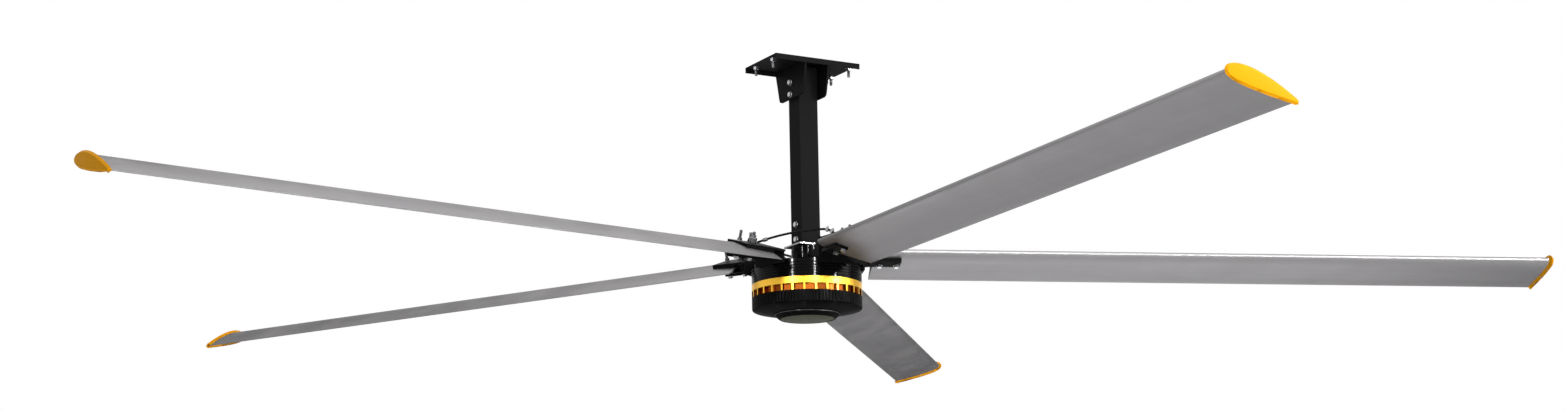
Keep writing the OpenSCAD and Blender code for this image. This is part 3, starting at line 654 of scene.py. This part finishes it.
def layFloor():
    bm = bmesh.new()
    bmesh.ops.create_grid(bm, x_segments=1, y_segments=1, size=studio["floorSize"] / 2)
    bmesh.ops.translate(bm, verts=bm.verts, vec=(0, 0, studio["floorZ"]))
    mesh = bpy.data.meshes.new("studioFloor")
    bm.to_mesh(mesh)
    bm.free()
    floor = bpy.data.objects.new("studioFloor", mesh)
    scene.collection.objects.link(floor)
    material = bpy.data.materials.new("floorPaper")
    material.use_nodes = True
    tree = material.node_tree
    surface = tree.nodes["Principled BSDF"]
    surface.inputs["Base Color"].default_value = (*studio["floorColour"], 1)
    surface.inputs["Roughness"].default_value = 0.9
    surface.inputs["Emission Color"].default_value = (1, 1, 1, 1)
    # it fades to white away from the fan
    place = addNode(tree, "ShaderNodeTexCoord")
    far = addNode(tree, "ShaderNodeVectorMath", operation="LENGTH")
    fade = addNode(tree, "ShaderNodeMapRange", interpolation_type="SMOOTHSTEP")
    fade.inputs["From Min"].default_value = studio["fadeFrom"]
    fade.inputs["From Max"].default_value = studio["fadeTo"]
    fade.inputs["To Min"].default_value = 0.35
    path = addNode(tree, "ShaderNodeLightPath")
    glow = addNode(tree, "ShaderNodeMath", operation="MULTIPLY")
    joined(tree, (place.outputs["Object"], far.inputs[0]),
           (far.outputs["Value"], fade.inputs["Value"]),
           (fade.outputs["Result"], glow.inputs[1]),
           (path.outputs["Is Camera Ray"], glow.inputs[0]),
           (glow.outputs[0], surface.inputs["Emission Strength"]))
    # seen through from below, so that the fan can be looked at from there
    side = addNode(tree, "ShaderNodeNewGeometry")
    clear = addNode(tree, "ShaderNodeBsdfTransparent")
    oneWay = addNode(tree, "ShaderNodeMixShader")
    joined(tree, (side.outputs["Backfacing"], oneWay.inputs["Fac"]),
           (surface.outputs["BSDF"], oneWay.inputs[1]), (clear.outputs[0], oneWay.inputs[2]),
           (oneWay.outputs[0], tree.nodes["Material Output"].inputs["Surface"]))
    mesh.materials.append(material)


# white where the camera or a mirror sees it, greyer for the light that it gives
def setWorld():
    world = bpy.data.worlds.new("studioWorld")
    scene.world = world
    world.use_nodes = True
    tree = world.node_tree
    tree.nodes.clear()
    place = addNode(tree, "ShaderNodeTexCoord")
    split = addNode(tree, "ShaderNodeSeparateXYZ")
    spread = addNode(tree, "ShaderNodeMapRange")
    spread.inputs["From Min"].default_value = -1
    ramp = addNode(tree, "ShaderNodeValToRGB")
    ramp.color_ramp.elements[0].color = (*studio["worldLow"], 1)
    ramp.color_ramp.elements[1].color = (*studio["worldTop"], 1)
    middle = ramp.color_ramp.elements.new(0.5)
    middle.color = (*studio["worldSide"], 1)
    soft = addNode(tree, "ShaderNodeBackground")
    white = addNode(tree, "ShaderNodeBackground")
    white.inputs["Color"].default_value = (1, 1, 1, 1)
    path = addNode(tree, "ShaderNodeLightPath")
    mix = addNode(tree, "ShaderNodeMixShader")
    out = addNode(tree, "ShaderNodeOutputWorld")
    mirrored = addNode(tree, "ShaderNodeMath", operation="MAXIMUM")
    seen = addNode(tree, "ShaderNodeMath", operation="MAXIMUM")
    joined(tree, (place.outputs["Generated"], split.inputs[0]),
           (split.outputs["Z"], spread.inputs["Value"]),
           (spread.outputs["Result"], ramp.inputs["Fac"]),
           (ramp.outputs["Color"], soft.inputs["Color"]),
           (path.outputs["Is Glossy Ray"], mirrored.inputs[0]),
           (path.outputs["Is Transmission Ray"], mirrored.inputs[1]),
           (path.outputs["Is Camera Ray"], seen.inputs[0]), (mirrored.outputs[0], seen.inputs[1]),
           (seen.outputs[0], mix.inputs["Fac"]),
           (soft.outputs[0], mix.inputs[1]), (white.outputs[0], mix.inputs[2]),
           (mix.outputs[0], out.inputs["Surface"]))


def hangLamps():
    for spec in lamps:
        data = bpy.data.lights.new(spec["name"], "AREA")
        data.shape = "RECTANGLE"
        data.size, data.size_y, data.energy = spec["wide"], spec["high"], spec["power"]
        lamp = bpy.data.objects.new(spec["name"], data)
        scene.collection.objects.link(lamp)
        turn = math.radians(-90 + spec["azimuth"]) - shot["turn"]
        lift = math.radians(spec["lift"])
        way = Vector((math.cos(turn) * math.cos(lift), math.sin(turn) * math.cos(lift),
                      math.sin(lift)))
        lamp.location = hub + way * spec["away"]
        lamp.visible_camera = False
        # the strips only draw glints on the drum, and the cap lamp leaves none
        lamp.visible_diffuse = not spec["name"].endswith("Strip")
        lamp.visible_glossy = spec["name"] != "capLamp"
        lamp.rotation_euler = (-way).to_track_quat("-Z", "Y").to_euler()


layFloor()
setWorld()
hangLamps()
scene.view_settings.view_transform = "Standard"
print("studio set")
